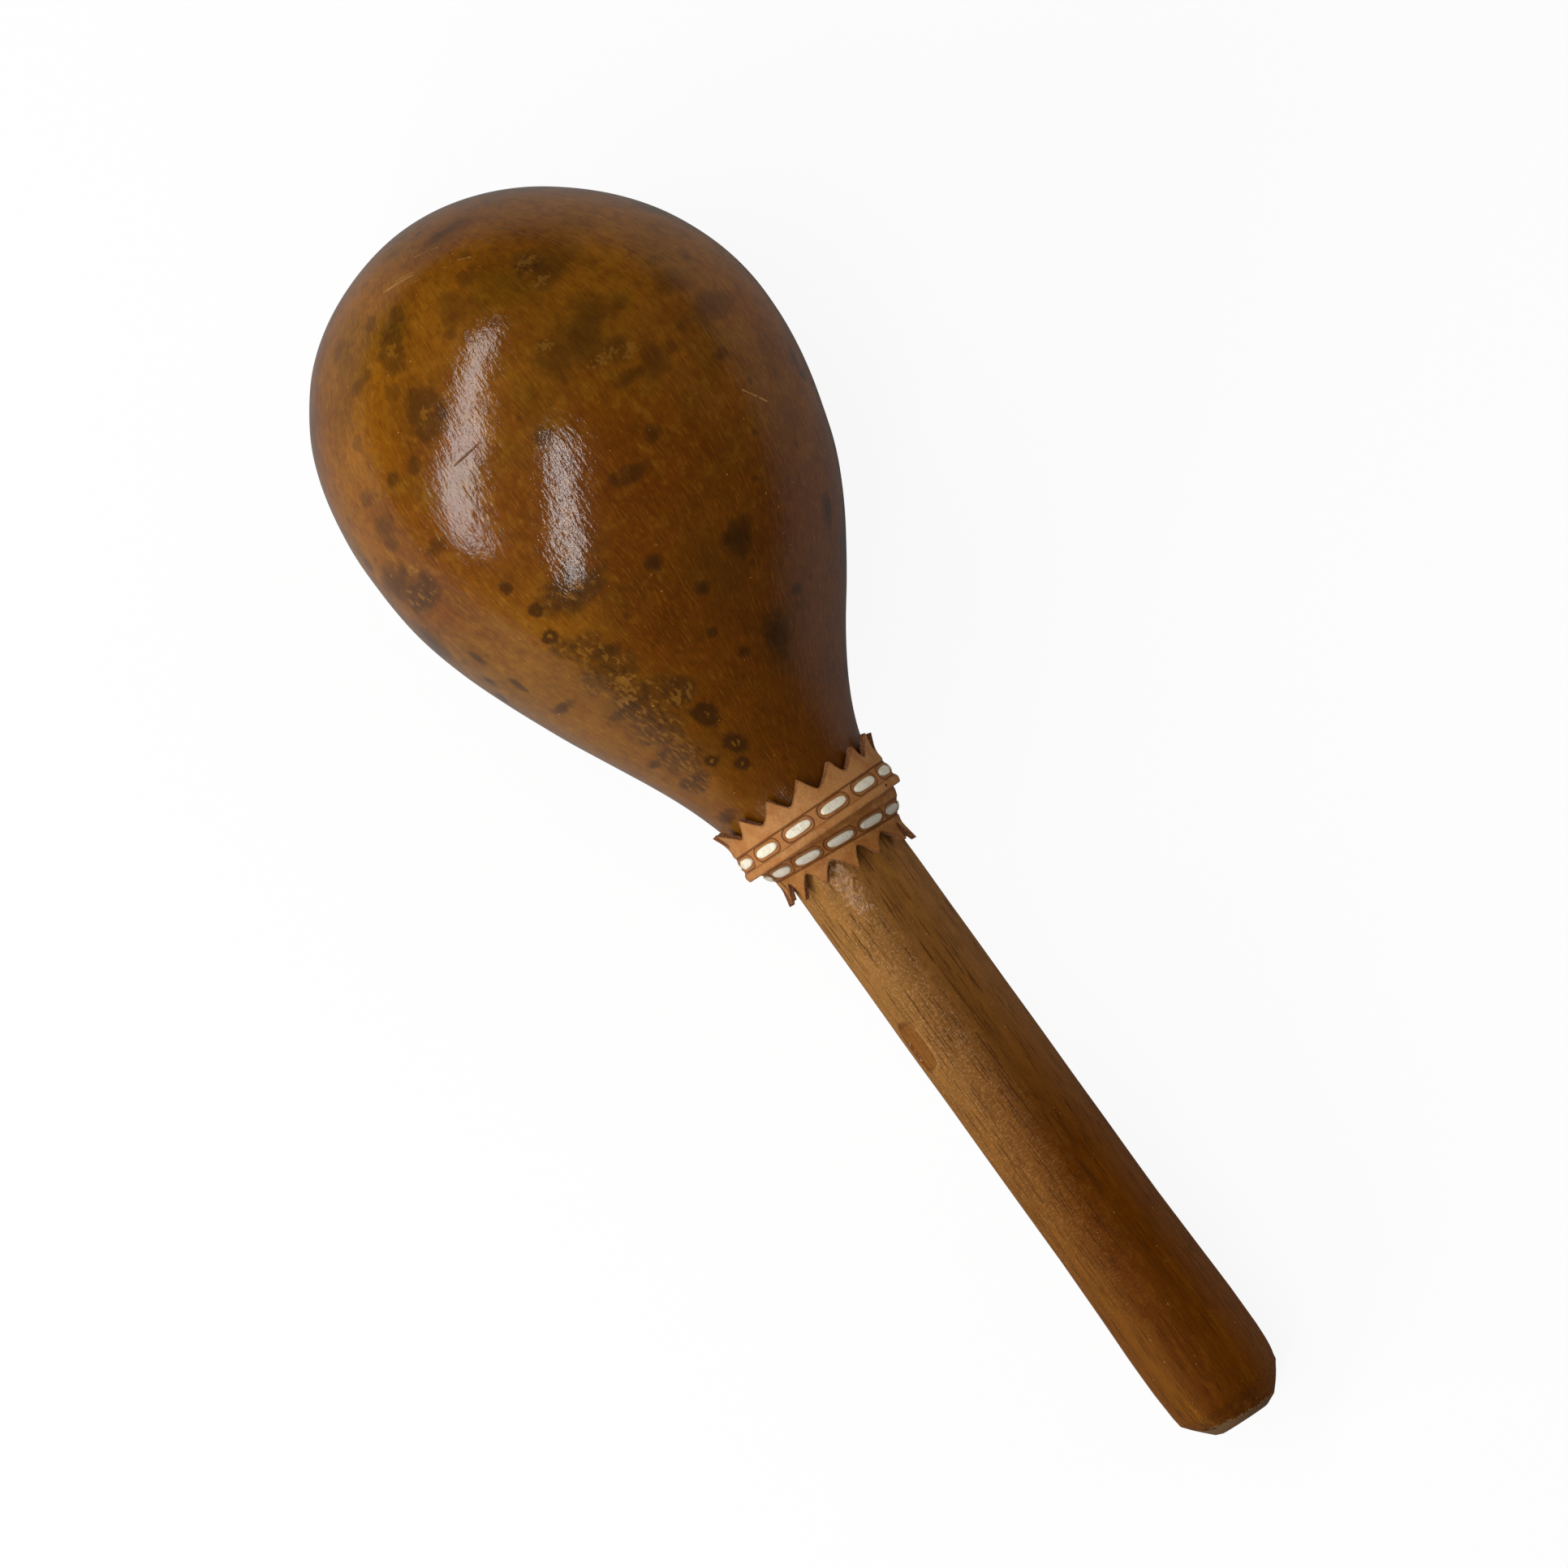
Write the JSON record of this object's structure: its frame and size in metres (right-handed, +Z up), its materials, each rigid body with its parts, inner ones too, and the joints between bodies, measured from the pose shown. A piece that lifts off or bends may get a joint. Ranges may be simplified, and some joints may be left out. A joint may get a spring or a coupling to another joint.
{
  "type": "gourd maraca",
  "caption": "Hand rattle: hollow varnished gourd with loose seeds on a round wooden handle, the neck joint wrapped in two laced, pinked leather strips.",
  "frame": {"origin": "on the surface that the maraca lies on, under the middle of its outline", "axes": "+X along the handle from the gourd to the butt, +Y to the side that the gourd leans to, +Z up as it lies on its side"},
  "size_m": [0.2884, 0.0974, 0.0981],
  "materials": {
    "gourd": "gloss varnish over mottled gourd skin",
    "handle_wood": "satin stain and lacquer",
    "leather": "tan, pressed grooves",
    "lace": "white ribbed lace",
    "glue": "clear amber",
    "seed": "smooth dry seed coat"
  },
  "bodies": {
    "rattle": {"gourd_shell": "gourd", "handle": "handle_wood", "neck_glue": "glue", "upper_collar": "leather", "lower_collar": "leather", "upper_lace": "lace", "lower_lace": "lace"},
    "seed_01": {"seed_01": "seed"},
    "seed_02": {"seed_02": "seed"},
    "seed_03": {"seed_03": "seed"},
    "seed_04": {"seed_04": "seed"},
    "seed_05": {"seed_05": "seed"},
    "seed_06": {"seed_06": "seed"},
    "seed_07": {"seed_07": "seed"},
    "seed_08": {"seed_08": "seed"},
    "seed_09": {"seed_09": "seed"},
    "seed_10": {"seed_10": "seed"},
    "seed_11": {"seed_11": "seed"},
    "seed_12": {"seed_12": "seed"},
    "seed_13": {"seed_13": "seed"},
    "seed_14": {"seed_14": "seed"},
    "seed_15": {"seed_15": "seed"},
    "seed_16": {"seed_16": "seed"},
    "seed_17": {"seed_17": "seed"},
    "seed_18": {"seed_18": "seed"},
    "seed_19": {"seed_19": "seed"},
    "seed_20": {"seed_20": "seed"},
    "seed_21": {"seed_21": "seed"},
    "seed_22": {"seed_22": "seed"},
    "seed_23": {"seed_23": "seed"},
    "seed_24": {"seed_24": "seed"},
    "seed_25": {"seed_25": "seed"},
    "seed_26": {"seed_26": "seed"},
    "seed_27": {"seed_27": "seed"},
    "seed_28": {"seed_28": "seed"},
    "seed_29": {"seed_29": "seed"},
    "seed_30": {"seed_30": "seed"},
    "seed_31": {"seed_31": "seed"},
    "seed_32": {"seed_32": "seed"},
    "seed_33": {"seed_33": "seed"},
    "seed_34": {"seed_34": "seed"},
    "seed_35": {"seed_35": "seed"},
    "seed_36": {"seed_36": "seed"},
    "seed_37": {"seed_37": "seed"}
  },
  "joints": [
    {"name": "seed_01_rattle", "type": "slide", "parent": "rattle", "child": "seed_01", "axis": [0, 0, 1], "range_m": [0, 0.0782]},
    {"name": "seed_02_rattle", "type": "slide", "parent": "rattle", "child": "seed_02", "axis": [0, 0, 1], "range_m": [0, 0.0788]},
    {"name": "seed_03_rattle", "type": "slide", "parent": "rattle", "child": "seed_03", "axis": [0, 0, 1], "range_m": [0, 0.0784]},
    {"name": "seed_04_rattle", "type": "slide", "parent": "rattle", "child": "seed_04", "axis": [0, 0, 1], "range_m": [0, 0.0768]},
    {"name": "seed_05_rattle", "type": "slide", "parent": "rattle", "child": "seed_05", "axis": [0, 0, 1], "range_m": [0, 0.0806]},
    {"name": "seed_06_rattle", "type": "slide", "parent": "rattle", "child": "seed_06", "axis": [0, 0, 1], "range_m": [0, 0.0822]},
    {"name": "seed_07_rattle", "type": "slide", "parent": "rattle", "child": "seed_07", "axis": [0, 0, 1], "range_m": [0, 0.0822]},
    {"name": "seed_08_rattle", "type": "slide", "parent": "rattle", "child": "seed_08", "axis": [0, 0, 1], "range_m": [0, 0.0812]},
    {"name": "seed_09_rattle", "type": "slide", "parent": "rattle", "child": "seed_09", "axis": [0, 0, 1], "range_m": [0, 0.0792]},
    {"name": "seed_10_rattle", "type": "slide", "parent": "rattle", "child": "seed_10", "axis": [0, 0, 1], "range_m": [0, 0.0812]},
    {"name": "seed_11_rattle", "type": "slide", "parent": "rattle", "child": "seed_11", "axis": [0, 0, 1], "range_m": [0, 0.0836]},
    {"name": "seed_12_rattle", "type": "slide", "parent": "rattle", "child": "seed_12", "axis": [0, 0, 1], "range_m": [0, 0.0842]},
    {"name": "seed_13_rattle", "type": "slide", "parent": "rattle", "child": "seed_13", "axis": [0, 0, 1], "range_m": [0, 0.084]},
    {"name": "seed_14_rattle", "type": "slide", "parent": "rattle", "child": "seed_14", "axis": [0, 0, 1], "range_m": [0, 0.0824]},
    {"name": "seed_15_rattle", "type": "slide", "parent": "rattle", "child": "seed_15", "axis": [0, 0, 1], "range_m": [0, 0.0798]},
    {"name": "seed_16_rattle", "type": "slide", "parent": "rattle", "child": "seed_16", "axis": [0, 0, 1], "range_m": [0, 0.0802]},
    {"name": "seed_17_rattle", "type": "slide", "parent": "rattle", "child": "seed_17", "axis": [0, 0, 1], "range_m": [0, 0.0832]},
    {"name": "seed_18_rattle", "type": "slide", "parent": "rattle", "child": "seed_18", "axis": [0, 0, 1], "range_m": [0, 0.0848]},
    {"name": "seed_19_rattle", "type": "slide", "parent": "rattle", "child": "seed_19", "axis": [0, 0, 1], "range_m": [0, 0.085]},
    {"name": "seed_20_rattle", "type": "slide", "parent": "rattle", "child": "seed_20", "axis": [0, 0, 1], "range_m": [0, 0.084]},
    {"name": "seed_21_rattle", "type": "slide", "parent": "rattle", "child": "seed_21", "axis": [0, 0, 1], "range_m": [0, 0.082]},
    {"name": "seed_22_rattle", "type": "slide", "parent": "rattle", "child": "seed_22", "axis": [0, 0, 1], "range_m": [0, 0.079]},
    {"name": "seed_23_rattle", "type": "slide", "parent": "rattle", "child": "seed_23", "axis": [0, 0, 1], "range_m": [0, 0.081]},
    {"name": "seed_24_rattle", "type": "slide", "parent": "rattle", "child": "seed_24", "axis": [0, 0, 1], "range_m": [0, 0.0834]},
    {"name": "seed_25_rattle", "type": "slide", "parent": "rattle", "child": "seed_25", "axis": [0, 0, 1], "range_m": [0, 0.0842]},
    {"name": "seed_26_rattle", "type": "slide", "parent": "rattle", "child": "seed_26", "axis": [0, 0, 1], "range_m": [0, 0.084]},
    {"name": "seed_27_rattle", "type": "slide", "parent": "rattle", "child": "seed_27", "axis": [0, 0, 1], "range_m": [0, 0.0824]},
    {"name": "seed_28_rattle", "type": "slide", "parent": "rattle", "child": "seed_28", "axis": [0, 0, 1], "range_m": [0, 0.0798]},
    {"name": "seed_29_rattle", "type": "slide", "parent": "rattle", "child": "seed_29", "axis": [0, 0, 1], "range_m": [0, 0.0802]},
    {"name": "seed_30_rattle", "type": "slide", "parent": "rattle", "child": "seed_30", "axis": [0, 0, 1], "range_m": [0, 0.082]},
    {"name": "seed_31_rattle", "type": "slide", "parent": "rattle", "child": "seed_31", "axis": [0, 0, 1], "range_m": [0, 0.0822]},
    {"name": "seed_32_rattle", "type": "slide", "parent": "rattle", "child": "seed_32", "axis": [0, 0, 1], "range_m": [0, 0.0812]},
    {"name": "seed_33_rattle", "type": "slide", "parent": "rattle", "child": "seed_33", "axis": [0, 0, 1], "range_m": [0, 0.0792]},
    {"name": "seed_34_rattle", "type": "slide", "parent": "rattle", "child": "seed_34", "axis": [0, 0, 1], "range_m": [0, 0.0778]},
    {"name": "seed_35_rattle", "type": "slide", "parent": "rattle", "child": "seed_35", "axis": [0, 0, 1], "range_m": [0, 0.0786]},
    {"name": "seed_36_rattle", "type": "slide", "parent": "rattle", "child": "seed_36", "axis": [0, 0, 1], "range_m": [0, 0.0784]},
    {"name": "seed_37_rattle", "type": "slide", "parent": "rattle", "child": "seed_37", "axis": [0, 0, 1], "range_m": [0, 0.0768]}
  ]
}
